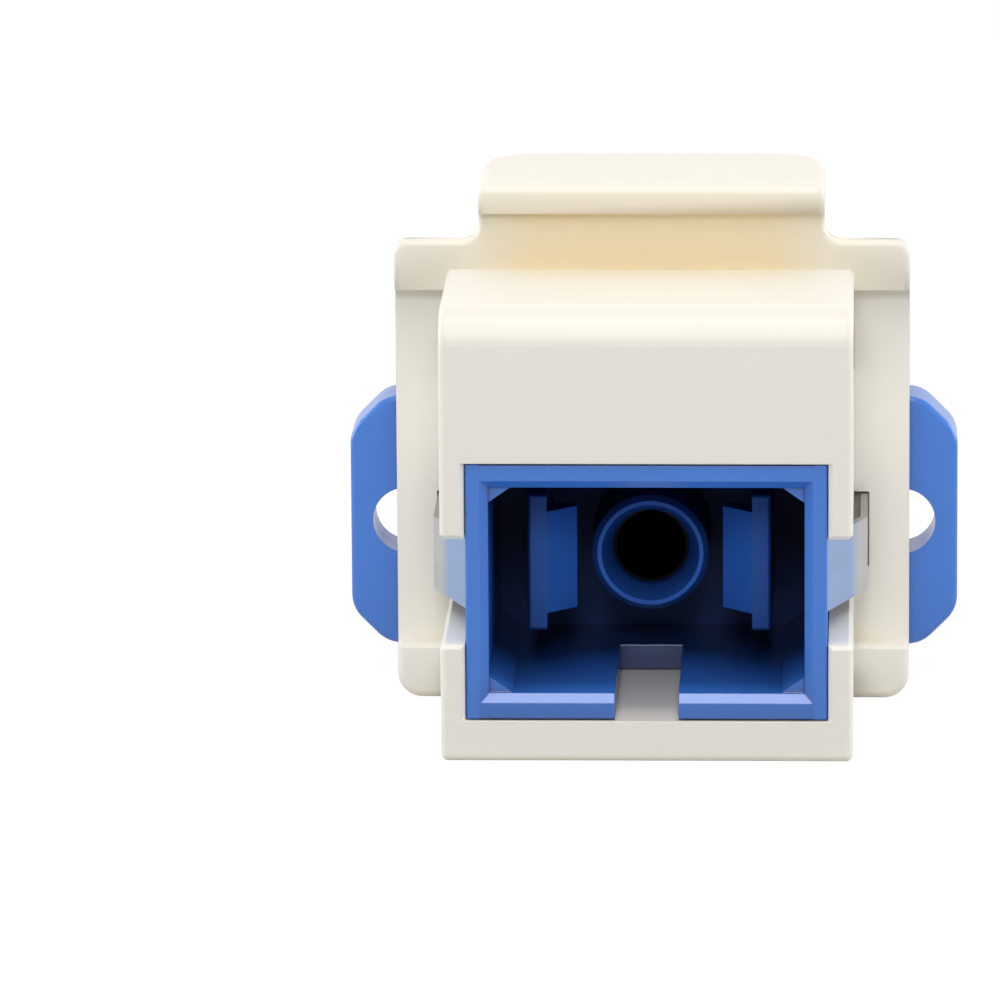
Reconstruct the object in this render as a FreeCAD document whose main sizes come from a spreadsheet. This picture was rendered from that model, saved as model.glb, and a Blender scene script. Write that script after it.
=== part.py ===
import FreeCAD, Part
import math
import os
import Sketcher

# Keystone fibre coupler: a flanged fibre adapter held in a snap-in keystone housing.
# Millimetres. X to the right, +Y from the front port to the rear port, +Z up.
# The origin is on the optical axis, at the plane where the two ferrules meet.
# A depth is a distance behind the housing's front face.

DIMENSIONS = [
    ("front_face", 12.85, "housing front face, ahead of the ferrule plane"),
    ("block_width", 14.5, "front block, across"),
    ("block_top", 10.1, "front block, top above the axis"),
    ("block_bottom", 6.1, "front block, bottom below the axis"),
    ("block_depth", 9.5, "front block, front to back"),
    ("front_wall", 1.5, "wall in front of the latch lever"),
    ("roof_top", 5.9, "roof over the adapter window, above the axis"),
    ("lip_depth", 7.4, "lower panel lip, front to back"),
    ("lip_groove", 1.0, "panel groove behind the lip, height"),
    ("top_round", 1.3, "rounding of the block's top front edge"),
    ("inner_round", 0.6, "rounding between front wall and roof"),
    ("block_edge", 0.25, "small rounding on the block's other edges"),
    ("frame_width", 18.5, "rear frame, across"),
    ("frame_top", 10.0, "rear frame, top above the axis"),
    ("frame_bottom", 6.1, "rear frame, bottom below the axis"),
    ("frame_depth", 2.2, "rear frame, front to back"),
    ("frame_corner", 0.5, "rear frame, rounding of the upper corners"),
    ("foot_corner", 0.9, "rear frame, rounding of the lower corners"),
    ("frame_edge", 0.3, "rear frame, rounding of the front rim"),
    ("frame_heel", 0.6, "rear frame, slope of the lower rear edge"),
    ("wing_step", 0.9, "frame wings, set back for the latch's shoulders"),
    ("wing_low", 4.1, "frame wings, lower end below the axis"),
    ("window_width", 12.76, "adapter window, across"),
    ("window_height", 9.26, "adapter window, height"),
    ("slot_height", 3.8, "side slot for the clip tab, height"),
    ("opening_edge", 0.15, "window sides and clip slots, chamfer of the front edges"),
    ("ledge_edge", 0.15, "ledge under the frame wings, edge chamfer"),
    ("tip_pocket_width", 15.6, "clip tip pockets, across both"),
    ("tip_pocket_height", 2.75, "clip tip pockets, height"),
    ("tip_pocket_depth", 1.4, "clip tip pockets, behind the frame's front"),
    ("notch_depth", 1.4, "frame notch for the lever, behind the frame's front"),
    ("lever_root", 8.9, "lever underside at its root, above the axis"),
    ("lever_low", 8.1, "lever underside at its rear, above the axis"),
    ("lever_end", 7.7, "depth of the lever's wide part"),
    ("catch_floor", 9.0, "floor of the panel catch, above the axis"),
    ("catch_wall", 9.5, "depth of the catch's back wall"),
    ("post_thick", 0.9, "post that carries the release tab"),
    ("shoulder_width", 18.5, "shoulders of the latch in front of the frame wings, across"),
    ("shoulder_low", 8.95, "shoulders, lower edge above the axis"),
    ("shoulder_high", 10.75, "shoulders, upper edge above the axis"),
    ("shoulder_thick", 0.6, "shoulders, front to back"),
    ("shoulder_corner", 0.5, "shoulders, rounding of the upper corners"),
    ("shoulder_edge", 0.2, "shoulders, rounding of the front rim"),
    ("post_root", 0.6, "rounding between the post and the shoulders"),
    ("tab_width", 12.4, "post and release tab, across"),
    ("tab_front", 9.0, "depth of the release tab's front"),
    ("tab_rear", 15.4, "depth of the release tab's rear"),
    ("tab_low", 11.82, "release tab underside above the axis"),
    ("tab_high", 12.92, "release tab top above the axis"),
    ("tab_corner", 2.0, "release tab, rear corner rounding"),
    ("tab_round", 0.4, "release tab, rounding of the top front edge"),
    ("tab_edge", 0.2, "release tab, rounding of the other edges"),
    ("adapter_length", 25.5, "adapter, port face to port face"),
    ("adapter_width", 12.7, "adapter, across"),
    ("adapter_height", 9.2, "adapter, height"),
    ("adapter_edge", 0.06, "adapter, chamfer of the outer edges"),
    ("port_width", 11.1, "port, across"),
    ("port_height", 7.4, "port, height"),
    ("port_corner_x", 0.8, "port corner fillers, across"),
    ("port_corner_z", 0.56, "port corner fillers, height"),
    ("mouth_depth", 0.4, "square mouth in front of the corner fillers, depth"),
    ("lead_in", 0.3, "chamfer round the port mouth"),
    ("keyway_width", 2.25, "keyway, across"),
    ("keyway_length", 7.7, "keyway, from the port face"),
    ("flange_width", 22.0, "flange, across the ears"),
    ("flange_thick", 2.3, "flange, front to back"),
    ("flange_corner", 1.3, "flange, corner chamfer"),
    ("flange_round", 1.2, "flange, rounding where chamfer meets edge"),
    ("flange_edge", 0.2, "flange, rounding of the ears' outer edges"),
    ("screw_hole", 2.4, "flange screw hole, diameter"),
    ("screw_spacing", 18.0, "flange screw holes, centre to centre"),
    ("seat_width", 11.9, "seat of the hook insert, across"),
    ("seat_height", 8.2, "seat of the hook insert, height"),
    ("seat_depth", 1.9, "seat of the hook insert, from the ferrule plane"),
    ("seat_play", 0.1, "hook insert smaller than its seat by"),
    ("hook_gap", 7.3, "space between the hook arms"),
    ("hook_thick", 0.7, "hook arm, thickness"),
    ("hook_height", 5.0, "hook arm, height"),
    ("hook_edge", 0.15, "hook arm, rounding of the tip"),
    ("hook_tip", 8.05, "hook arm tip, from the ferrule plane"),
    ("barb_gap", 5.2, "space between the barbs"),
    ("barb_height", 3.7, "barb, height"),
    ("barb_flat", 0.5, "barb, flat behind its ramp"),
    ("tube_outer", 4.2, "sleeve tube, outside diameter"),
    ("tube_mouth", 6.45, "sleeve tube mouth, from the ferrule plane"),
    ("tube_funnel", 3.5, "sleeve tube, diameter of the funnel's rim"),
    ("tube_throat", 2.64, "sleeve tube, diameter of the throat at its narrow end"),
    ("tube_lip", 1.3, "sleeve tube, length of funnel and throat"),
    ("tube_throat_run", 0.3, "sleeve tube, length of the throat alone"),
    ("throat_draft", 0.05, "sleeve tube, widening of the throat towards the mouth"),
    ("tube_rim", 0.2, "sleeve tube, chamfer of the outer rim"),
    ("tube_bore", 3.3, "sleeve tube, bore round the sleeve"),
    ("sleeve_outer", 3.2, "alignment sleeve, outside diameter"),
    ("sleeve_inner", 2.5, "alignment sleeve, inside diameter"),
    ("sleeve_length", 10.2, "alignment sleeve, length"),
    ("sleeve_slit", 0.4, "alignment sleeve, width of the slit"),
    ("clip_thick", 0.25, "clip sheet, thickness"),
    ("clip_groove", 0.27, "clip groove, depth"),
    ("clip_start", 1.4, "depth of the strap's front edge"),
    ("clip_width", 1.5, "strap, front to back"),
    ("clip_leg", 2.2, "strap legs, lower end below the axis"),
    ("spring_height", 2.65, "clip spring tab, height"),
    ("spring_relief", 2.8, "relief behind the spring tab, height"),
    ("spring_bend", 6.5, "depth of the spring tab's knee"),
    ("spring_tip", 10.8, "depth of the spring tab's tip"),
    ("spring_reach", 7.75, "spring tab's knee and tip, outer face from the axis"),
    ("cap_seat", 0.05, "gap between dust cap and port face"),
    ("cap_width", 12.6, "dust cap flange, across"),
    ("cap_height", 8.8, "dust cap flange, height"),
    ("cap_thick", 1.0, "dust cap flange, thickness"),
    ("cap_edge", 0.3, "dust cap, edge rounding"),
    ("plug_width", 10.8, "dust cap plug, across"),
    ("plug_height", 7.1, "dust cap plug, height"),
    ("plug_corner", 0.75, "dust cap plug, corner chamfer"),
    ("plug_depth", 1.3, "dust cap plug, depth into the port"),
    ("step_width", 8.4, "dust cap step, across"),
    ("step_height", 6.0, "dust cap step, height"),
    ("step_depth", 1.2, "dust cap step, depth"),
    ("neck_base", 7.4, "dust cap neck at its base, across"),
    ("neck_width", 4.9, "dust cap neck at its end, across"),
    ("neck_height", 5.3, "dust cap neck, height"),
    ("neck_flare", 2.4, "dust cap neck, length of its S-shaped flare"),
    ("neck_length", 5.3, "dust cap neck, length"),
    ("neck_bore", 4.5, "dust cap neck, bore over the sleeve tube"),
    ("neck_bore_depth", 6.0, "dust cap neck, depth of the bore"),
    ("neck_edge", 0.25, "dust cap neck, chamfer of its end"),
]

# Edges closer than this to a place are taken to lie there, and a feature changes at least this volume.
SAME_PLACE = 1e-4
LEAST_VOLUME = 1e-6

size = {alias: number for alias, number, note in DIMENSIONS}

doc = FreeCAD.newDocument("keystone_fibre_coupler")
sheet = doc.addObject("Spreadsheet::Sheet", "dims")
for row, (alias, number, note) in enumerate(DIMENSIONS, start=1):
    sheet.set(f"A{row}", note)
    sheet.set(f"B{row}", str(number))
    sheet.setAlias(f"B{row}", alias)
doc.recompute()


def new_body(label):
    body = doc.addObject("PartDesign::Body", label)
    body.Label = label
    return body


def sketch_on(body, role, name, offset="0"):
    """Empty sketch on one of the body's own origin planes, moved along its normal."""
    sketch = body.newObject("Sketcher::SketchObject", name)
    plane = next(feature for feature in body.Origin.OriginFeatures if feature.Role == role)
    sketch.AttachmentSupport = (plane, [""])
    sketch.MapMode = "FlatFace"
    sketch.setExpression("AttachmentOffset.Base.z", offset)
    return sketch


def pin(sketch, element, point, across, up):
    """Hold a sketch point at two expressions, measured from the sketch's origin."""
    place = sketch.getPoint(element, point)
    for direction, start, expression in (("DistanceX", place.x, across), ("DistanceY", place.y, up)):
        index = sketch.addConstraint(Sketcher.Constraint(direction, -1, 1, element, point, start))
        sketch.setExpression(f"Constraints[{index}]", expression)


def outline(sketch, corners):
    """Closed polygon with every corner pinned."""
    first = sketch.GeometryCount
    count = len(corners)
    ring = [FreeCAD.Vector(math.cos(turn), math.sin(turn), 0)
            for turn in (2 * math.pi * index / count for index in range(count))]
    for index in range(count):
        sketch.addGeometry(Part.LineSegment(ring[index], ring[(index + 1) % count]))
    for index, (across, up) in enumerate(corners):
        following = first + (index + 1) % count
        sketch.addConstraint(Sketcher.Constraint("Coincident", first + index, 2, following, 1))
        pin(sketch, first + index, 1, across, up)


def circle(sketch, across, diameter):
    """Circle centred on the sketch's horizontal axis."""
    index = sketch.addGeometry(Part.Circle(FreeCAD.Vector(0, 0, 0), FreeCAD.Vector(0, 0, 1), 1))
    pin(sketch, index, 3, across, "0")
    held = sketch.addConstraint(Sketcher.Constraint("Diameter", index, 2.0))
    sketch.setExpression(f"Constraints[{held}]", diameter)


def rectangle(low_across, high_across, low_up, high_up):
    return [(low_across, low_up), (high_across, low_up), (high_across, high_up), (low_across, high_up)]


def centred(width, height):
    return rectangle(f"-{width} / 2", f"{width} / 2", f"-{height} / 2", f"{height} / 2")


def clipped(width, height, cut_across, cut_up):
    """Centred rectangle with its four corners cut off."""
    corners = []
    for sign_across, sign_up, up_first in ((-1, -1, True), (1, -1, False), (1, 1, True), (-1, 1, False)):
        across = f"{sign_across} * {width} / 2"
        up = f"{sign_up} * {height} / 2"
        beside = (across, f"{sign_up} * ({height} / 2 - {cut_up})")
        above = (f"{sign_across} * ({width} / 2 - {cut_across})", up)
        corners += [beside, above] if up_first else [above, beside]
    return corners


def built(body, feature, before):
    """Recompute a new feature. Stops if it doesn't add or take away material as its kind should."""
    doc.recompute()
    change = feature.Shape.Volume - before
    expected = -1 if feature.TypeId in ("PartDesign::Pocket", "PartDesign::Groove") else 1
    if change * expected < LEAST_VOLUME:
        raise RuntimeError(f"{body.Label}.{feature.Name} changed the volume by {change}")


def extruded(body, name, sketch, length, cut, backward=False, symmetric=False):
    """Pad or pocket from a sketch."""
    before = body.Tip.Shape.Volume if body.Tip else 0.0
    feature = body.newObject("PartDesign::Pocket" if cut else "PartDesign::Pad", name)
    feature.Profile = sketch
    feature.setExpression("Length", length)
    feature.Reversed = backward
    if symmetric:
        feature.SideType = "Symmetric"
    built(body, feature, before)


def turned_cut(body, name, sketch):
    """Take away what a sketch sweeps round its vertical axis."""
    before = body.Tip.Shape.Volume
    feature = body.newObject("PartDesign::Groove", name)
    feature.Profile = sketch
    feature.ReferenceAxis = (sketch, ["V_Axis"])
    feature.Angle = 360
    built(body, feature, before)


def slab(body, name, loops, start, length, toward=1, cut=False):
    """Extrude outlines drawn across the optical axis, from the plane y = start, along +Y or -Y."""
    sketch = sketch_on(body, "XZ_Plane", name + "_outline", f"-({start})")
    for loop in loops:
        outline(sketch, loop)
    extruded(body, name, sketch, length, cut, backward=(toward > 0) != cut)


def discs(body, name, centres, diameter, start, length, toward=1, cut=False):
    """The same for round outlines on the horizontal axis."""
    sketch = sketch_on(body, "XZ_Plane", name + "_outline", f"-({start})")
    for across in centres:
        circle(sketch, across, diameter)
    extruded(body, name, sketch, length, cut, backward=(toward > 0) != cut)


def ribbon(body, name, role, loops, width):
    """Extrude outlines by half of width to each side of an origin plane."""
    sketch = sketch_on(body, role, name + "_outline")
    for loop in loops:
        outline(sketch, loop)
    extruded(body, name, sketch, width, cut=False, symmetric=True)


def dressed(body, kind, name, chosen, measure):
    """Fillet or chamfer of the edges that a test picks out."""
    base = body.Tip
    names = [f"Edge{index}" for index, edge in enumerate(base.Shape.Edges, start=1) if chosen(edge.BoundBox)]
    if not names:
        raise RuntimeError(f"{body.Label}.{name} found no edge")
    feature = body.newObject(f"PartDesign::{kind}", name)
    feature.Base = (base, names)
    feature.setExpression("Radius" if kind == "Fillet" else "Size", measure)
    doc.recompute()


def near(one, other):
    return abs(one - other) < SAME_PLACE


def lies_at(box, y):
    """True for the box of an edge that lies in the plane at y."""
    return near(box.YMin, y) and near(box.YMax, y)


def runs_along(box, axis):
    """True for the box of a straight edge that is parallel to an axis."""
    spans = {"X": box.XLength, "Y": box.YLength, "Z": box.ZLength}
    return all((span > SAME_PLACE) == (name == axis) for name, span in spans.items())


def depth(expression):
    """Y of a point that lies behind the housing's front face by a depth."""
    return f"{expression} - dims.front_face"


def keystone_housing():
    body = new_body("keystone_housing")
    front = -size["front_face"]
    frame_front = front + size["block_depth"]
    half_block = size["block_width"] / 2

    # Side profile of the front block: front wall, roof over the adapter, panel lip and its groove below.
    profile = [
        (depth("0"), "-dims.block_bottom"),
        (depth("dims.lip_depth"), "-dims.block_bottom"),
        (depth("dims.lip_depth"), "-dims.block_bottom + dims.lip_groove"),
        (depth("dims.block_depth"), "-dims.block_bottom + dims.lip_groove"),
        (depth("dims.block_depth"), "dims.roof_top"),
        (depth("dims.front_wall"), "dims.roof_top"),
        (depth("dims.front_wall"), "dims.block_top"),
        (depth("0"), "dims.block_top"),
    ]
    ribbon(body, "front_block", "YZ_Plane", [profile], "dims.block_width")
    dressed(body, "Fillet", "top_rounding", lambda box: runs_along(box, "X") and near(box.YMin, front)
            and near(box.ZMin, size["block_top"]), "dims.top_round")
    dressed(body, "Fillet", "wall_root", lambda box: runs_along(box, "X") and near(box.ZMin, size["roof_top"])
            and near(box.YMin, front + size["front_wall"]), "dims.inner_round")
    dressed(body, "Fillet", "block_edges", lambda box: lies_at(box, front)
            or near(box.XLength, 0) and near(abs(box.XMin), half_block) and near(box.YMin, front)
            or runs_along(box, "Y") and near(box.ZMin, -size["block_bottom"]), "dims.block_edge")

    # Wider frame behind the block, its wings set back at both sides.
    frame = rectangle("-dims.frame_width / 2", "dims.frame_width / 2", "-dims.frame_bottom", "dims.frame_top")
    slab(body, "rear_frame", [frame], depth("dims.block_depth"), "dims.frame_depth")
    half_frame = size["frame_width"] / 2
    frame_rear = frame_front + size["frame_depth"]
    dressed(body, "Chamfer", "frame_heel", lambda box: runs_along(box, "X") and near(box.YMin, frame_rear)
            and near(box.ZMin, -size["frame_bottom"]), "dims.frame_heel")
    dressed(body, "Fillet", "frame_corners", lambda box: runs_along(box, "Y")
            and near(abs(box.XMin), half_frame) and near(box.ZMin, size["frame_top"]), "dims.frame_corner")
    dressed(body, "Fillet", "foot_corners", lambda box: runs_along(box, "Y")
            and near(abs(box.XMin), half_frame) and near(box.ZMin, -size["frame_bottom"]), "dims.foot_corner")
    wings = [
        rectangle("dims.block_width / 2", "dims.frame_width", "-dims.wing_low", "2 * dims.frame_top"),
        rectangle("-dims.frame_width", "-dims.block_width / 2", "-dims.wing_low", "2 * dims.frame_top"),
    ]
    slab(body, "wing_recess", wings, depth("dims.block_depth"), "dims.wing_step", cut=True)

    # Openings: adapter window, side slots and pockets for the clip, notch for the lever.
    slab(body, "adapter_window", [centred("dims.window_width", "dims.window_height")], depth("0"),
         "dims.block_depth + dims.frame_depth", cut=True)
    slab(body, "clip_slots", [centred("dims.frame_width", "dims.slot_height")], depth("0"),
         "dims.block_depth", cut=True)
    slab(body, "tip_pockets", [centred("dims.tip_pocket_width", "dims.tip_pocket_height")],
         depth("dims.block_depth"), "dims.tip_pocket_depth", cut=True)
    notch = rectangle("-dims.block_width / 2", "dims.block_width / 2", "dims.roof_top", "2 * dims.frame_top")
    slab(body, "lever_notch", [notch], depth("dims.block_depth"), "dims.notch_depth", cut=True)
    dressed(body, "Fillet", "frame_rim", lambda box: lies_at(box, frame_front)
            and near(box.ZMin, -size["frame_bottom"]), "dims.frame_edge")
    dressed(body, "Chamfer", "ledge_edges", lambda box: runs_along(box, "X") and near(box.YMin, frame_front)
            and near(box.ZMin, -size["wing_low"]), "dims.ledge_edge")
    half_window = size["window_width"] / 2
    dressed(body, "Chamfer", "opening_edges", lambda box: lies_at(box, front)
            and (runs_along(box, "X") and near(abs(box.ZMin), size["slot_height"] / 2)
                 or runs_along(box, "Z") and near(abs(box.XMin), half_window)), "dims.opening_edge")
    return body


def keystone_latch():
    body = new_body("keystone_latch")

    # Lever plate: the top of the block, rooted behind the front wall.
    plate = [
        (depth("dims.front_wall"), "dims.lever_root"),
        (depth("dims.lever_end"), "dims.lever_low"),
        (depth("dims.lever_end"), "dims.block_top"),
        (depth("dims.front_wall"), "dims.block_top"),
    ]
    ribbon(body, "lever_plate", "YZ_Plane", [plate], "dims.block_width")
    lever_rear = size["lever_end"] - size["front_face"]
    dressed(body, "Fillet", "lever_edges", lambda box: near(box.ZMin, size["block_top"])
            and (runs_along(box, "Y") or lies_at(box, lever_rear)), "dims.block_edge")

    # Panel catch with its post, shoulders beside it and the release tab on top.
    post_rear = "dims.catch_wall + dims.post_thick"
    catch = [
        (depth("dims.lever_end"), "dims.lever_low"),
        (depth(post_rear), "dims.lever_low"),
        (depth(post_rear), "dims.tab_low"),
        (depth("dims.catch_wall"), "dims.tab_low"),
        (depth("dims.catch_wall"), "dims.catch_floor"),
        (depth("dims.lever_end"), "dims.catch_floor"),
    ]
    ribbon(body, "catch_and_post", "YZ_Plane", [catch], "dims.tab_width")
    shoulders = rectangle("-dims.shoulder_width / 2", "dims.shoulder_width / 2", "dims.shoulder_low",
                          "dims.shoulder_high")
    slab(body, "shoulders", [shoulders], depth("dims.catch_wall"), "dims.shoulder_thick")
    half_shoulder = size["shoulder_width"] / 2
    shoulder_front = size["catch_wall"] - size["front_face"]
    dressed(body, "Fillet", "post_root", lambda box: runs_along(box, "Y")
            and near(abs(box.XMin), size["tab_width"] / 2) and near(box.ZMin, size["shoulder_high"]),
            "dims.post_root")
    dressed(body, "Fillet", "shoulder_corners", lambda box: runs_along(box, "Y")
            and near(abs(box.XMin), half_shoulder) and near(box.ZMin, size["shoulder_high"]),
            "dims.shoulder_corner")
    dressed(body, "Fillet", "shoulder_rims", lambda box: lies_at(box, shoulder_front)
            and runs_along(box, "Z") and near(abs(box.XMin), half_shoulder), "dims.shoulder_edge")
    tab = rectangle(depth("dims.tab_front"), depth("dims.tab_rear"), "dims.tab_low", "dims.tab_high")
    ribbon(body, "release_tab", "YZ_Plane", [tab], "dims.tab_width")
    tab_rear = size["tab_rear"] - size["front_face"]
    tab_front = size["tab_front"] - size["front_face"]
    dressed(body, "Fillet", "tab_corners", lambda box: runs_along(box, "Z") and near(box.YMin, tab_rear),
            "dims.tab_corner")
    dressed(body, "Fillet", "tab_sides", lambda box: runs_along(box, "Z") and near(box.YMin, tab_front),
            "dims.tab_edge")
    dressed(body, "Fillet", "tab_rounding", lambda box: near(box.ZMin, size["tab_high"])
            and near(box.ZMax, size["tab_high"]), "dims.tab_round")
    return body


def adapter_shell(label, facing, has_clip):
    """One half of the adapter. facing is -1 for the front port and 1 for the rear port."""
    body = new_body(label)
    port_face = f"{facing} * dims.adapter_length / 2"
    face_y = facing * size["adapter_length"] / 2
    half_length = "dims.adapter_length / 2"

    ears = clipped("dims.flange_width", "dims.adapter_height", "dims.flange_corner", "dims.flange_corner")
    slab(body, "flange", [ears], "0", "dims.flange_thick / 2", facing)
    chamfer_run = size["flange_width"] / 2 - size["flange_corner"]
    dressed(body, "Fillet", "ear_rounding", lambda box: runs_along(box, "Y")
            and abs(box.XMin) > chamfer_run - SAME_PLACE, "dims.flange_round")
    flange_y = facing * size["flange_thick"] / 2
    dressed(body, "Fillet", "ear_edges", lambda box: lies_at(box, flange_y), "dims.flange_edge")
    slab(body, "barrel", [centred("dims.adapter_width", "dims.adapter_height")], "0", half_length, facing)
    half_width = size["adapter_width"] / 2
    dressed(body, "Chamfer", "barrel_edges", lambda box: lies_at(box, face_y)
            or runs_along(box, "Y") and near(abs(box.XMin), half_width), "dims.adapter_edge")
    discs(body, "screw_holes", ["dims.screw_spacing / 2", "-dims.screw_spacing / 2"], "dims.screw_hole", "0",
          "dims.flange_thick / 2", facing, cut=True)

    # The port: a square mouth with a lead-in, and fillers in the corners behind it.
    port = clipped("dims.port_width", "dims.port_height", "dims.port_corner_x", "dims.port_corner_z")
    slab(body, "port", [port], "0", half_length, facing, cut=True)
    mouth = centred("dims.port_width", "dims.port_height")
    slab(body, "mouth", [mouth], port_face, "dims.mouth_depth", -facing, cut=True)
    dressed(body, "Chamfer", "port_lead_in", lambda box: lies_at(box, face_y)
            and abs(box.XMin) < size["port_width"] / 2 + SAME_PLACE
            and abs(box.ZMin) < size["port_height"] / 2 + SAME_PLACE, "dims.lead_in")
    keyway = rectangle("-dims.keyway_width / 2", "dims.keyway_width / 2", "-dims.adapter_height", "0")
    slab(body, "keyway", [keyway], port_face, "dims.keyway_length", -facing, cut=True)
    seat = centred("dims.seat_width", "dims.seat_height")
    slab(body, "insert_seat", [seat], "0", "dims.seat_depth", facing, cut=True)

    if has_clip:
        side = "dims.adapter_width / 2 - dims.clip_groove"
        top = "dims.adapter_height / 2 - dims.clip_groove"
        strap_groove = [
            (f"-({side})", "-dims.clip_leg"), (f"-({side})", top), (side, top), (side, "-dims.clip_leg"),
            ("dims.adapter_width", "-dims.clip_leg"), ("dims.adapter_width", "dims.adapter_height"),
            ("-dims.adapter_width", "dims.adapter_height"), ("-dims.adapter_width", "-dims.clip_leg"),
        ]
        slab(body, "strap_groove", [strap_groove], depth("dims.clip_start"), "dims.clip_width", cut=True)
        half_relief = "dims.spring_relief / 2"
        reliefs = [
            rectangle(side, "dims.adapter_width", f"-{half_relief}", half_relief),
            rectangle("-dims.adapter_width", f"-({side})", f"-{half_relief}", half_relief),
        ]
        slab(body, "spring_relief", reliefs, depth("dims.clip_start + dims.clip_width"),
             "dims.spring_tip - dims.clip_start - dims.clip_width", cut=True)
    return body


def hook_insert(label, facing):
    """Base plate, two barbed hook arms and half of the tube round the alignment sleeve."""
    body = new_body(label)
    seat_thick = "(dims.seat_depth - dims.seat_play / 2)"
    base = centred("(dims.seat_width - dims.seat_play)", "(dims.seat_height - dims.seat_play)")
    slab(body, "base", [base], "0", seat_thick, facing)

    arm_inner = "dims.hook_gap / 2"
    arm_outer = "(dims.hook_gap / 2 + dims.hook_thick)"
    half_arm = "dims.hook_height / 2"
    arms = [
        rectangle(arm_inner, arm_outer, f"-{half_arm}", half_arm),
        rectangle(f"-{arm_outer}", f"-{arm_inner}", f"-{half_arm}", half_arm),
    ]
    slab(body, "hook_arms", arms, f"{facing} * {seat_thick}", f"dims.hook_tip - {seat_thick}", facing)
    tip_y = facing * size["hook_tip"]
    dressed(body, "Fillet", "hook_tips", lambda box: lies_at(box, tip_y)
            and not (runs_along(box, "Z") and near(abs(box.XMin), size["hook_gap"] / 2)), "dims.hook_edge")

    # Barbs that grip the plug: a ramp from the tip, a flat crest and a square heel.
    ramp = "(dims.hook_gap - dims.barb_gap) / 2"
    tip = f"{facing} * dims.hook_tip"
    crest = f"{facing} * (dims.hook_tip - {ramp})"
    heel = f"{facing} * (dims.hook_tip - {ramp} - dims.barb_flat)"
    barbs = []
    for sign in (1, -1):
        barbs.append([
            (f"{sign} * dims.hook_gap / 2", tip),
            (f"{sign} * dims.barb_gap / 2", crest),
            (f"{sign} * dims.barb_gap / 2", heel),
            (f"{sign} * dims.hook_gap / 2", heel),
        ])
    ribbon(body, "barbs", "XY_Plane", barbs, "dims.barb_height")

    # Tube round the sleeve, with a funnel and a drafted throat at its mouth.
    tube_run = f"dims.tube_mouth - {seat_thick}"
    discs(body, "tube", ["0"], "dims.tube_outer", f"{facing} * {seat_thick}", tube_run, facing)
    mouth_y = facing * size["tube_mouth"]
    dressed(body, "Chamfer", "tube_rim", lambda box: lies_at(box, mouth_y), "dims.tube_rim")
    bore = sketch_on(body, "XY_Plane", "tube_bore_outline")
    outline(bore, [
        ("0", "0"),
        ("dims.tube_bore / 2", "0"),
        ("dims.tube_bore / 2", f"{facing} * (dims.tube_mouth - dims.tube_lip)"),
        ("dims.tube_throat / 2", f"{facing} * (dims.tube_mouth - dims.tube_lip)"),
        ("dims.tube_throat / 2 + dims.throat_draft",
         f"{facing} * (dims.tube_mouth - dims.tube_lip + dims.tube_throat_run)"),
        ("dims.tube_funnel / 2", f"{facing} * dims.tube_mouth"),
        ("0", f"{facing} * dims.tube_mouth"),
    ])
    turned_cut(body, "tube_bore", bore)
    return body


def alignment_sleeve():
    body = new_body("alignment_sleeve")
    start = "-dims.sleeve_length / 2"
    discs(body, "tube", ["0"], "dims.sleeve_outer", start, "dims.sleeve_length")
    discs(body, "ferrule_bore", ["0"], "dims.sleeve_inner", start, "dims.sleeve_length", cut=True)
    slit = rectangle("-dims.sleeve_slit / 2", "dims.sleeve_slit / 2", "0", "dims.sleeve_outer")
    slab(body, "slit", [slit], start, "dims.sleeve_length", cut=True)
    return body


def retaining_clip():
    body = new_body("retaining_clip")
    inner_side = "(dims.adapter_width / 2 - dims.clip_groove)"
    inner_top = "(dims.adapter_height / 2 - dims.clip_groove)"
    outer_side = f"({inner_side} + dims.clip_thick)"
    outer_top = f"({inner_top} + dims.clip_thick)"
    strap = [
        (f"-{outer_side}", "-dims.clip_leg"), (f"-{outer_side}", outer_top), (outer_side, outer_top),
        (outer_side, "-dims.clip_leg"), (inner_side, "-dims.clip_leg"), (inner_side, inner_top),
        (f"-{inner_side}", inner_top), (f"-{inner_side}", "-dims.clip_leg"),
    ]
    slab(body, "strap", [strap], depth("dims.clip_start"), "dims.clip_width")

    # Spring tabs flare outwards to a knee, and run straight on into the frame's pockets.
    root = depth("dims.clip_start + dims.clip_width")
    bend = depth("dims.spring_bend")
    tip = depth("dims.spring_tip")
    tabs = []
    for sign in (1, -1):
        tabs.append([
            (f"{sign} * {inner_side}", root),
            (f"{sign} * {outer_side}", root),
            (f"{sign} * dims.spring_reach", bend),
            (f"{sign} * dims.spring_reach", tip),
            (f"{sign} * (dims.spring_reach - dims.clip_thick)", tip),
            (f"{sign} * (dims.spring_reach - dims.clip_thick)", bend),
        ])
    ribbon(body, "spring_tabs", "XY_Plane", tabs, "dims.spring_height")
    return body


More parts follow.
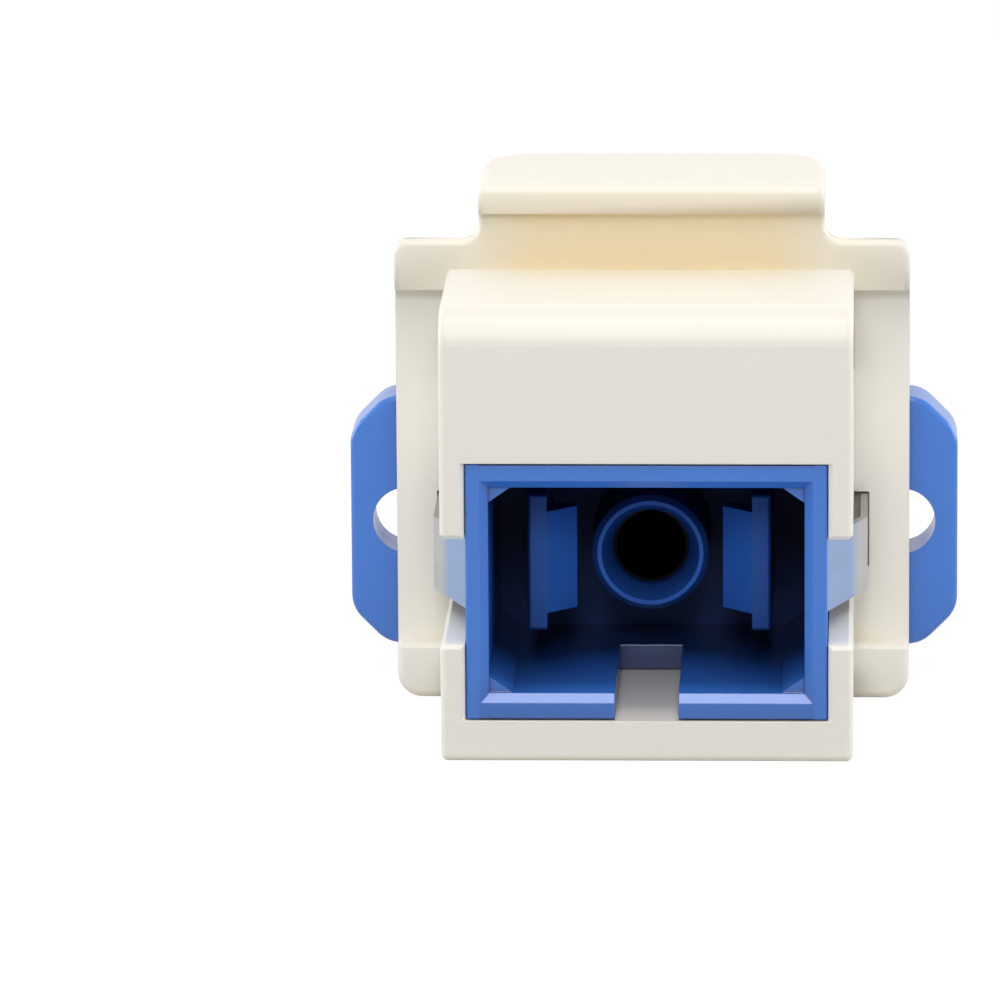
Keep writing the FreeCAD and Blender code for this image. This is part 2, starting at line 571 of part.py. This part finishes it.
def neck_plan(sketch, base, flare_end, end):
    """Plan of the dust cap's neck: two S-shaped flares, each of two equal arcs, and straight sides."""
    run_in = (size["neck_base"] - size["neck_width"]) / 2
    radius = (run_in ** 2 + size["neck_flare"] ** 2) / (4 * run_in)
    radius_text = ("(((dims.neck_base - dims.neck_width) / 2) ^ 2 + dims.neck_flare ^ 2)"
                   " / (2 * (dims.neck_base - dims.neck_width))")
    middle = (size["neck_base"] + size["neck_width"]) / 4
    base_y, flare_y = base[1], flare_end[1]
    half_base, half_end = size["neck_base"] / 2, size["neck_width"] / 2
    middle_text = "(dims.neck_base + dims.neck_width) / 4"
    middle_y = f"({base[0]} + {flare_end[0]}) / 2"
    sweep = math.atan2((base_y - flare_y) / 2, radius - run_in / 2)

    ends = {}
    upright = FreeCAD.Vector(0, 0, 1)
    for sign in (1, -1):
        # The arc beside the base bulges outwards, the arc beside the neck hollows inwards.
        bulge = Part.Circle(FreeCAD.Vector(sign * (half_base - radius), base_y, 0), upright, radius)
        hollow = Part.Circle(FreeCAD.Vector(sign * (half_end + radius), flare_y, 0), upright, radius)
        if sign > 0:
            spans = (-sweep, 0.0), (math.pi - sweep, math.pi)
        else:
            spans = (math.pi, math.pi + sweep), (0.0, sweep)
        outer = sketch.addGeometry(Part.ArcOfCircle(bulge, *spans[0]))
        inner = sketch.addGeometry(Part.ArcOfCircle(hollow, *spans[1]))
        at_base, at_middle = (2, 1) if sign > 0 else (1, 2)
        middle_end, neck_end = (1, 2) if sign > 0 else (2, 1)
        pin(sketch, outer, at_base, f"{sign} * dims.neck_base / 2", base[0])
        pin(sketch, outer, at_middle, f"{sign} * {middle_text}", middle_y)
        pin(sketch, inner, neck_end, f"{sign} * dims.neck_width / 2", flare_end[0])
        sketch.addConstraint(Sketcher.Constraint("Coincident", outer, at_middle, inner, middle_end))
        for arc in (outer, inner):
            index = sketch.addConstraint(Sketcher.Constraint("Radius", arc, radius))
            sketch.setExpression(f"Constraints[{index}]", radius_text)
        side = sketch.addGeometry(Part.LineSegment(FreeCAD.Vector(sign * half_end, flare_y, 0),
                                                   FreeCAD.Vector(sign * half_end, end[1], 0)))
        sketch.addConstraint(Sketcher.Constraint("Coincident", inner, neck_end, side, 1))
        pin(sketch, side, 2, f"{sign} * dims.neck_width / 2", end[0])
        ends[sign] = {"base": (outer, at_base), "end": (side, 2)}
    for place in ("base", "end"):
        across = Part.LineSegment(FreeCAD.Vector(-middle, 0, 0), FreeCAD.Vector(middle, 0, 0))
        line = sketch.addGeometry(across)
        sketch.addConstraint(Sketcher.Constraint("Coincident", line, 1, *ends[-1][place]))
        sketch.addConstraint(Sketcher.Constraint("Coincident", line, 2, *ends[1][place]))


def rear_dust_cap():
    body = new_body("rear_dust_cap")
    seat = "(dims.adapter_length / 2 + dims.cap_seat)"
    plug_end = f"({seat} - dims.plug_depth)"
    step_end = f"({plug_end} - dims.step_depth)"
    neck_end = f"({step_end} - dims.neck_length)"
    slab(body, "flange", [centred("dims.cap_width", "dims.cap_height")], seat, "dims.cap_thick")
    dressed(body, "Fillet", "flange_edges", lambda box: True, "dims.cap_edge")
    plug = clipped("dims.plug_width", "dims.plug_height", "dims.plug_corner", "dims.plug_corner")
    slab(body, "plug", [plug], seat, "dims.plug_depth", -1)
    slab(body, "step", [centred("dims.step_width", "dims.step_height")], plug_end, "dims.step_depth", -1)

    step_y = size["adapter_length"] / 2 + size["cap_seat"] - size["plug_depth"] - size["step_depth"]
    sketch = sketch_on(body, "XY_Plane", "neck_outline")
    neck_plan(sketch, (step_end, step_y), (f"{step_end} - dims.neck_flare", step_y - size["neck_flare"]),
              (neck_end, step_y - size["neck_length"]))
    extruded(body, "neck", sketch, "dims.neck_height", cut=False, symmetric=True)
    dressed(body, "Chamfer", "neck_edges", lambda box: lies_at(box, step_y - size["neck_length"]),
            "dims.neck_edge")
    discs(body, "neck_bore", ["0"], "dims.neck_bore", neck_end, "dims.neck_bore_depth", cut=True)
    return body


bodies = [
    keystone_housing(),
    keystone_latch(),
    adapter_shell("adapter_front_shell", -1, True),
    adapter_shell("adapter_rear_shell", 1, False),
    hook_insert("front_hook_insert", -1),
    hook_insert("rear_hook_insert", 1),
    alignment_sleeve(),
    retaining_clip(),
    rear_dust_cap(),
]

doc.recompute()
for item in doc.Objects:
    if "Invalid" in item.State or "Error" in item.State:
        raise RuntimeError(f"{item.Label} did not build: {item.State}")
for body in bodies:
    if body.Shape.isNull() or not body.Shape.isValid() or len(body.Shape.Solids) != 1:
        raise RuntimeError(f"{body.Label} is not one valid solid")

os.makedirs("parts", exist_ok=True)
for body in bodies:
    body.Shape.exportStep(f"parts/{body.Label}.step")
    print(f"{body.Label}: {body.Shape.Volume:.1f} cubic mm")
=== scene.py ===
import math

import bmesh
import bpy
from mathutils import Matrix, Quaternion, Vector


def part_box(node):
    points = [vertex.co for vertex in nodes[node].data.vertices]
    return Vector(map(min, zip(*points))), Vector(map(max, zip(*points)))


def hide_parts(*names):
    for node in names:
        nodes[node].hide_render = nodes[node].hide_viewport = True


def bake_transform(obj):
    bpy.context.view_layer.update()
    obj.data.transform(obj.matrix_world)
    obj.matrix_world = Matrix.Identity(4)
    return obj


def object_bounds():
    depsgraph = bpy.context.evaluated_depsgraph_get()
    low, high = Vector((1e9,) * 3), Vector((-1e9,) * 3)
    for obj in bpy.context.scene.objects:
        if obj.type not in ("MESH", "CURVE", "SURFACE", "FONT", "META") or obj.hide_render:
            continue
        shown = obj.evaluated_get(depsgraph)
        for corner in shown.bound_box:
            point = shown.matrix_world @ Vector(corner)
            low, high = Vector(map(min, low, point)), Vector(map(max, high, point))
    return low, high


# Keystone fibre coupler on a white table. Metres, in the frame of the solids.

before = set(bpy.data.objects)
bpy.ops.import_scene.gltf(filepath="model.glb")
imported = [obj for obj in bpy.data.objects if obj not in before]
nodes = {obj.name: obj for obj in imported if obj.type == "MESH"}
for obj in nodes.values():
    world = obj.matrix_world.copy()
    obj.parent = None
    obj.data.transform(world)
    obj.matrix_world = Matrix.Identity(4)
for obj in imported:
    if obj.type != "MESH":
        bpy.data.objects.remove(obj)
cad_low, cad_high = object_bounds()

MM = 0.001
WHITE = (1, 1, 1)
WARM = (1.0, 0.95, 0.87)

# Camera: the photograph's viewing direction, and the pixel where the origin lands.
CAMERA_AZIMUTH = 1.36
CAMERA_ELEVATION = 12.54
CAMERA_ROLL = -0.18
CAMERA_DISTANCE = 345 * MM
CLIP_NEAR = 10 * MM
CLIP_FAR = 10000 * MM
IMAGE_PIXELS = 1000
FOCAL_PIXELS = 9480
ORIGIN_PIXEL = (654.6, 513.7)
SENSOR_WIDTH = 36.0

# Surroundings: the light that the world gives, and the white that is mixed into the table where it is seen.
WORLD_FILL = 0.05
TABLE_SIZE = 2000 * MM
TABLE_COLOUR = (0.62, 0.64, 0.66)
TABLE_GLOW = 1.12
TABLE_WHITE_SHARE = 0.85

# Plastic: clouding, mould grain, the rounding that a mould leaves on an edge, and painted shade in recesses.
CLOUD_SCALE = 220
CLOUD_DETAIL = 3
CLOUD_GLOSS = 0.05
GRAIN_SCALE = 6000
GRAIN_DETAIL = 2
GRAIN_STRENGTH = 0.02
GRAIN_DEPTH = 0.05 * MM
EDGE_RADIUS = 0.06 * MM
EDGE_SAMPLES = 8
RECESS_SAMPLES = 16
RECESS_SPAN = (0.05, 0.45)
RECESS_REACH = 5 * MM
OUTSIDE_SHARE = 0.3
HEIGHT_SOFT = 0.05 * MM

# Metal: rolling or drawing streaks, and how sharply the painted blue reflection and shade along the clip's
# middle ends.
STREAK_SCALE = 1500
STREAK_STRETCH = 0.05
STREAK_GLOSS = 0.08
STREAK_SHADES = ((0.86, 0.86, 0.86), WHITE)
REFLECTION_EDGE_SOFT = 0.15 * MM

# Latch root: how far it is carried into the front wall, and the length over which it bends.
STUB_LENGTH = 0.35 * MM
STUB_DIP = 0.05 * MM
STUB_TAPER = 0.993
BEND_LENGTH = 1.5 * MM
BEND_CUTS = 5
SAME_PLACE = 0.001 * MM
SHARP_ANGLE = 30

# Zones where the painted shade of recesses is full: round the catch under the release tab, and inside the
# port.
TAB_THICKNESS = 1.1 * MM
CATCH_ZONE_ASIDE = 5.3 * MM
CATCH_ZONE_SOFT = 1.0 * MM
PORT_ZONE = (5.9 * MM, 4.9 * MM, 0.1 * MM)


def look_along(azimuth, elevation):
    """Unit vector from the object to a viewer at that azimuth and elevation."""
    a, e = math.radians(azimuth), math.radians(elevation)
    return Vector((math.sin(a) * math.cos(e), -math.cos(a) * math.cos(e), math.sin(e)))


def make_camera():
    """Camera on the photograph's line of sight, turned so that the origin lands on its pixel."""
    data = bpy.data.cameras.new("camera")
    data.sensor_width = SENSOR_WIDTH
    data.lens = SENSOR_WIDTH * FOCAL_PIXELS / IMAGE_PIXELS
    data.clip_start = CLIP_NEAR
    data.clip_end = CLIP_FAR
    camera = bpy.data.objects.new("camera", data)
    back = look_along(CAMERA_AZIMUTH, CAMERA_ELEVATION)
    camera.location = back * CAMERA_DISTANCE
    half = IMAGE_PIXELS / 2
    across = (ORIGIN_PIXEL[0] - half) / FOCAL_PIXELS
    upward = (half - ORIGIN_PIXEL[1]) / FOCAL_PIXELS
    to_origin = Vector((across, upward, -1))
    swing = to_origin.normalized().rotation_difference(Vector((0, 0, -1)))
    facing = (-back).to_track_quat("-Z", "Y")
    roll = Quaternion((0, 0, 1), math.radians(CAMERA_ROLL))
    camera.rotation_mode = "QUATERNION"
    camera.rotation_quaternion = facing @ roll @ swing
    bpy.context.scene.collection.objects.link(camera)
    bpy.context.scene.camera = camera


def area_light(name, azimuth, elevation, distance, width, height, level, colour=WHITE):
    """Soft box that faces the object. At level 1 alone, a white surface that faces it renders white."""
    data = bpy.data.lights.new(name, "AREA")
    data.shape = "RECTANGLE"
    data.size, data.size_y = width, height
    data.energy = level * (math.pi * distance) ** 2
    data.color = colour
    light = bpy.data.objects.new(name, data)
    back = look_along(azimuth, elevation)
    light.location = back * distance
    light.rotation_mode = "QUATERNION"
    light.rotation_quaternion = (-back).to_track_quat("-Z", "Y")
    light.visible_camera = False
    bpy.context.scene.collection.objects.link(light)


def make_lamps():
    area_light("key_box", azimuth=0, elevation=58, distance=100 * MM, width=50 * MM, height=50 * MM,
               level=0.28, colour=WARM)
    area_light("top_box", azimuth=0, elevation=78, distance=300 * MM, width=200 * MM, height=40 * MM,
               level=0.22, colour=WARM)
    area_light("front_box", azimuth=0, elevation=28, distance=400 * MM, width=80 * MM, height=100 * MM,
               level=0.26)
    area_light("back_box", azimuth=180, elevation=45, distance=300 * MM, width=340 * MM, height=160 * MM,
               level=0.18, colour=WARM)
    for name, azimuth in (("left_box", -98), ("right_box", 98)):
        area_light(name, azimuth, elevation=14, distance=280 * MM, width=340 * MM, height=160 * MM,
                   level=0.70)


def seen_or_mirrored(tree):
    """1 for a ray from the camera or off a glossy surface, so that the white surroundings show there."""
    path = tree.nodes.new("ShaderNodeLightPath")
    either = tree.nodes.new("ShaderNodeMath")
    either.operation = "MAXIMUM"
    tree.links.new(path.outputs["Is Camera Ray"], either.inputs[0])
    tree.links.new(path.outputs["Is Glossy Ray"], either.inputs[1])
    return either.outputs[0]


def mix_shaders(tree, share, first, second, out):
    """Lead the first shader to the output, with that share of the second."""
    mix = tree.nodes.new("ShaderNodeMixShader")
    tree.links.new(share, mix.inputs["Fac"])
    tree.links.new(first.outputs[0], mix.inputs[1])
    tree.links.new(second.outputs[0], mix.inputs[2])
    tree.links.new(mix.outputs[0], out.inputs["Surface"])


def make_world():
    """Weak white light all round, and plain white where the world is seen."""
    world = bpy.data.worlds.new("world")
    bpy.context.scene.world = world
    world.use_nodes = True
    tree = world.node_tree
    tree.nodes.clear()
    out = tree.nodes.new("ShaderNodeOutputWorld")
    fill = tree.nodes.new("ShaderNodeBackground")
    fill.inputs["Color"].default_value = (*WHITE, 1)
    fill.inputs["Strength"].default_value = WORLD_FILL
    white = tree.nodes.new("ShaderNodeBackground")
    white.inputs["Color"].default_value = (*WHITE, 1)
    mix_shaders(tree, seen_or_mirrored(tree), fill, white, out)


def make_floor():
    """White table under the part. Seen directly it is close to white and still takes the part's shadow."""
    bpy.ops.mesh.primitive_plane_add(size=TABLE_SIZE, location=(0, 0, cad_low.z))
    floor = bpy.context.object
    floor.name = "floor"
    material = bpy.data.materials.new("white_table")
    material.use_nodes = True
    tree = material.node_tree
    tree.nodes.clear()
    out = tree.nodes.new("ShaderNodeOutputMaterial")
    paper = tree.nodes.new("ShaderNodeBsdfDiffuse")
    paper.inputs["Color"].default_value = (*TABLE_COLOUR, 1)
    white = tree.nodes.new("ShaderNodeEmission")
    white.inputs["Strength"].default_value = TABLE_GLOW
    seen = tree.nodes.new("ShaderNodeMath")
    seen.operation = "MULTIPLY"
    seen.inputs[1].default_value = TABLE_WHITE_SHARE
    tree.links.new(seen_or_mirrored(tree), seen.inputs[0])
    mix_shaders(tree, seen.outputs[0], paper, white, out)
    floor.data.materials.append(material)


def new_material(name):
    material = bpy.data.materials.new(name)
    material.use_nodes = True
    tree = material.node_tree
    shader = tree.nodes["Principled BSDF"]
    return material, tree, shader


def noise(tree, vector, scale):
    """Noise of that scale. Gives its node."""
    texture = tree.nodes.new("ShaderNodeTexNoise")
    texture.inputs["Scale"].default_value = scale
    tree.links.new(vector, texture.inputs["Vector"])
    return texture


def colour_ramp(tree, value, low_colour, high_colour):
    """From one colour at value 0 to another at 1. Gives the ramp's node."""
    ramp = tree.nodes.new("ShaderNodeValToRGB")
    ramp.color_ramp.elements[0].color = (*low_colour, 1)
    ramp.color_ramp.elements[1].color = (*high_colour, 1)
    tree.links.new(value, ramp.inputs["Fac"])
    return ramp


def multiplied(tree, first, second):
    """One colour multiplied by another. Gives the mix's node."""
    product = tree.nodes.new("ShaderNodeMix")
    product.data_type = "RGBA"
    product.blend_type = "MULTIPLY"
    product.inputs["Factor"].default_value = 1.0
    tree.links.new(first, product.inputs["A"])
    tree.links.new(second, product.inputs["B"])
    return product


def across_level(tree, value, level, soft):
    """Map range that turns over where value crosses level, within a soft distance to either side."""
    turn = tree.nodes.new("ShaderNodeMapRange")
    turn.inputs["From Min"].default_value = level - soft
    turn.inputs["From Max"].default_value = level + soft
    tree.links.new(value, turn.inputs["Value"])
    return turn


def uneven_gloss(tree, shader, value, roughness, swing):
    """Roughness that follows value, from swing under to swing over the one given."""
    gloss = tree.nodes.new("ShaderNodeMapRange")
    gloss.inputs["To Min"].default_value = roughness - swing
    gloss.inputs["To Max"].default_value = roughness + swing
    tree.links.new(value, gloss.inputs["Value"])
    tree.links.new(gloss.outputs["Result"], shader.inputs["Roughness"])


def distances(tree):
    """How far the point lies from the middle along each axis, to either side. Gives the split's node."""
    place = tree.nodes.new("ShaderNodeTexCoord")
    size = tree.nodes.new("ShaderNodeVectorMath")
    size.operation = "ABSOLUTE"
    tree.links.new(place.outputs["Object"], size.inputs[0])
    split = tree.nodes.new("ShaderNodeSeparateXYZ")
    tree.links.new(size.outputs["Vector"], split.inputs["Vector"])
    return split


def within(tree, value, level, soft):
    """1 where value is under level, and the outside share where it is over."""
    share = across_level(tree, value, level, soft)
    share.inputs["To Min"].default_value = 1.0
    share.inputs["To Max"].default_value = OUTSIDE_SHARE
    return share.outputs["Result"]


def near_axis(tree, aside, height, soft):
    """1 within that distance aside of the optical axis and that height from it, less elsewhere."""
    away = distances(tree)
    both = tree.nodes.new("ShaderNodeMath")
    both.operation = "MINIMUM"
    tree.links.new(within(tree, away.outputs["X"], aside, soft), both.inputs[0])
    tree.links.new(within(tree, away.outputs["Z"], height, HEIGHT_SOFT), both.inputs[1])
    return both.outputs[0]


def recess_painted_shade(tree, colour, tint, span, reach, zone=None):
    """Painted shade: the colour, multiplied by tint where the surface is hemmed in and by white where it is
    open.

    span gives the openness at which the tint is full and at which it ends, and reach how far it looks.
    Where a zone is given, as a distance aside, a height and a soft edge, the tint is weaker outside it.
    """
    hollow = tree.nodes.new("ShaderNodeAmbientOcclusion")
    hollow.samples = RECESS_SAMPLES
    hollow.inputs["Distance"].default_value = reach
    ramp = colour_ramp(tree, hollow.outputs["AO"], tint, WHITE)
    ramp.color_ramp.interpolation = "EASE"
    ramp.color_ramp.elements[0].position = span[0]
    ramp.color_ramp.elements[1].position = span[1]
    tone = multiplied(tree, colour, ramp.outputs["Color"])
    if zone is not None:
        tree.links.new(near_axis(tree, *zone), tone.inputs["Factor"])
    return tone.outputs["Result"]


def moulded_plastic(name, colours, roughness, tint, span=RECESS_SPAN, reach=RECESS_REACH, specular=0.5,
                    zone=None):
    """Moulded plastic: faint clouding, uneven gloss, fine grain, soft edges and painted shade in recesses."""
    material, tree, shader = new_material(name)
    shader.inputs["Specular IOR Level"].default_value = specular
    place = tree.nodes.new("ShaderNodeTexCoord").outputs["Object"]
    cloud = noise(tree, place, CLOUD_SCALE)
    cloud.inputs["Detail"].default_value = CLOUD_DETAIL
    clouded = colour_ramp(tree, cloud.outputs["Fac"], *colours)
    shaded_colour = recess_painted_shade(tree, clouded.outputs["Color"], tint, span, reach, zone)
    tree.links.new(shaded_colour, shader.inputs["Base Color"])
    uneven_gloss(tree, shader, cloud.outputs["Fac"], roughness, CLOUD_GLOSS)

    grain = noise(tree, place, GRAIN_SCALE)
    grain.inputs["Detail"].default_value = GRAIN_DETAIL
    relief = tree.nodes.new("ShaderNodeBump")
    relief.inputs["Strength"].default_value = GRAIN_STRENGTH
    relief.inputs["Distance"].default_value = GRAIN_DEPTH
    tree.links.new(grain.outputs["Fac"], relief.inputs["Height"])
    edges = tree.nodes.new("ShaderNodeBevel")
    edges.samples = EDGE_SAMPLES
    edges.inputs["Radius"].default_value = EDGE_RADIUS
    tree.links.new(edges.outputs["Normal"], relief.inputs["Normal"])
    tree.links.new(relief.outputs["Normal"], shader.inputs["Normal"])
    return material


def streaked(tree, shader, colours, roughness):
    """Fine streaks along Y between two colours, with gloss that follows them. Gives the colour's socket."""
    shader.inputs["Metallic"].default_value = 1.0
    place = tree.nodes.new("ShaderNodeTexCoord")
    stretch = tree.nodes.new("ShaderNodeMapping")
    stretch.inputs["Scale"].default_value = (1, STREAK_STRETCH, 1)
    tree.links.new(place.outputs["Object"], stretch.inputs["Vector"])
    streaks = noise(tree, stretch.outputs["Vector"], STREAK_SCALE)
    uneven_gloss(tree, shader, streaks.outputs["Fac"], roughness, STREAK_GLOSS)
    return colour_ramp(tree, streaks.outputs["Fac"], *colours).outputs["Color"]


def spring_steel(name, reflected_blue, bare, turn, roughness):
    """Rolled spring steel, with painted blue reflection and shade along its middle, bare beyond turn, a
    distance to either side.
    """
    material, tree, shader = new_material(name)
    streaks = streaked(tree, shader, STREAK_SHADES, roughness)
    along = across_level(tree, distances(tree).outputs["X"], turn, REFLECTION_EDGE_SOFT)
    reflection_tint = colour_ramp(tree, along.outputs["Result"], reflected_blue, bare)
    colour = multiplied(tree, reflection_tint.outputs["Color"], streaks)
    tree.links.new(colour.outputs["Result"], shader.inputs["Base Color"])
    return material


def drawn_bronze(name, colours, roughness, tint, span):
    """Drawn tube, with painted shade where it lies deep in its bore."""
    material, tree, shader = new_material(name)
    streaks = streaked(tree, shader, colours, roughness)
    shaded_colour = recess_painted_shade(tree, streaks, tint, span, RECESS_REACH)
    tree.links.new(shaded_colour, shader.inputs["Base Color"])
    return material


def dress(names, material):
    """Give the solids of those names the material. Each face of a solid is shaded by itself."""
    for name in names:
        data = nodes[name].data
        data.materials.clear()
        data.materials.append(material)
        data.shade_smooth()


def latch_shape():
    """Mesh of the latch, carried on a little way into the front wall and cut across where it bends."""
    shape = bmesh.new()
    shape.from_mesh(nodes["keystone_latch"].data)
    shape.transform(nodes["keystone_latch"].matrix_world)
    bmesh.ops.remove_doubles(shape, verts=shape.verts, dist=SAME_PLACE)
    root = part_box("keystone_latch")[0].y
    ends = [face for face in shape.faces if all(abs(vert.co.y - root) < SAME_PLACE for vert in face.verts)]
    carried = bmesh.ops.extrude_face_region(shape, geom=ends)["geom"]
    for vert in carried:
        if isinstance(vert, bmesh.types.BMVert):
            vert.co.x *= STUB_TAPER
            vert.co.y -= STUB_LENGTH
            vert.co.z -= STUB_DIP
    bmesh.ops.delete(shape, geom=[face for face in ends if face.is_valid], context="FACES")
    for cut in range(BEND_CUTS):
        everything = shape.verts[:] + shape.edges[:] + shape.faces[:]
        along = root + BEND_LENGTH * (cut + 1) / BEND_CUTS
        bmesh.ops.bisect_plane(shape, geom=everything, plane_co=(0, along, 0), plane_no=(0, 1, 0))
    data = bpy.data.meshes.new("bending_latch")
    shape.to_mesh(data)
    shape.free()
    data.shade_smooth()
    data.set_sharp_from_angle(angle=math.radians(SHARP_ANGLE))
    return data


def bending_latch(material):
    """The latch as one mesh in place of the latch solid, its root carried into the front wall and cut across
    where it bends.
    """
    data = latch_shape()
    data.materials.append(material)
    latch = bpy.data.objects.new("bending_latch", data)
    bpy.context.scene.collection.objects.link(latch)
    latch.modifiers.new("flat_faces", "WEIGHTED_NORMAL").keep_sharp = True
    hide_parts("keystone_latch")
    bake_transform(latch)


def dress_housing():
    """Ivory housing with painted shade in its recesses, and its latch with a warmer painted shade under the
    release tab.
    """
    colours = ((0.90, 0.875, 0.81), (0.92, 0.895, 0.83))
    roughness = 0.42
    # Painted shade: the ivory darkens to a warm tone where it is hemmed in.
    ivory = moulded_plastic("ivory_plastic", colours, roughness, tint=(0.97, 0.90, 0.78))
    tab_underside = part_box("keystone_latch")[1].z - TAB_THICKNESS
    catch_zone = (CATCH_ZONE_ASIDE, tab_underside, CATCH_ZONE_SOFT)
    # Painted shade: tan in the catch under the release tab, standing for its shade and the warm light bounced
    # in it.
    latch_ivory = moulded_plastic("latch_ivory", colours, roughness, tint=(1.0, 0.91, 0.71), span=(0.72, 1.0),
                                  reach=7 * MM, zone=catch_zone)
    dress(["keystone_housing"], ivory)
    bending_latch(latch_ivory)


def dress_adapter():
    """Glossy blue shells with painted shade inside the port, and duller and deeper blue inserts in them,
    darkened partly as painted shade.
    """
    shell_colours = ((0.04, 0.19, 0.69), (0.05, 0.21, 0.73))
    # Painted shade: the blue darkens deep inside the port.
    blue = moulded_plastic("blue_plastic", shell_colours, roughness=0.22, tint=(0.14, 0.15, 0.19),
                           span=(0.25, 1.0), specular=0.65, zone=PORT_ZONE)
    # Painted shade: the inserts' darker blue and their darkened recesses stand partly for the shade deep in
    # the port.
    insert_colours = ((0.03, 0.16, 0.60), (0.04, 0.18, 0.64))
    insert_blue_and_shade = moulded_plastic("insert_blue", insert_colours, roughness=0.5, tint=(0.10, 0.11, 0.15),
                                span=(0.16, 0.92), specular=0.25)
    dress(["adapter_front_shell", "adapter_rear_shell"], blue)
    dress(["front_hook_insert", "rear_hook_insert"], insert_blue_and_shade)


def dress_fittings():
    """Spring steel clip with painted blue reflection and shade, bronze sleeve in near-black painted shade,
    and black cap with painted shade in its recesses.
    """
    # Painted reflection and shade: the clip's middle, in its slot, is tinted by the blue adapter it faces.
    steel = spring_steel("clip_steel", reflected_blue=(0.24, 0.33, 0.52), bare=(0.42, 0.42, 0.41), turn=7.3 * MM,
                         roughness=0.4)
    # Painted shade: the sleeve's near-black colours stand for the shade in the bore.
    sleeve_shade_colours = ((0.02, 0.016, 0.012), (0.03, 0.024, 0.018))
    bronze = drawn_bronze("sleeve_bronze", sleeve_shade_colours, roughness=0.45, tint=(0.05, 0.05, 0.05),
                          span=(0.3, 0.8))
    cap_colours = ((0.02, 0.02, 0.021), (0.032, 0.032, 0.034))
    # Painted shade in the cap's recesses.
    black = moulded_plastic("cap_black", cap_colours, roughness=0.5, tint=(0.5, 0.5, 0.5))
    dress(["retaining_clip"], steel)
    dress(["alignment_sleeve"], bronze)
    dress(["rear_dust_cap"], black)


make_camera()
make_lamps()
make_world()
make_floor()
dress_housing()
dress_adapter()
dress_fittings()

bpy.context.scene.view_settings.view_transform = "Standard"
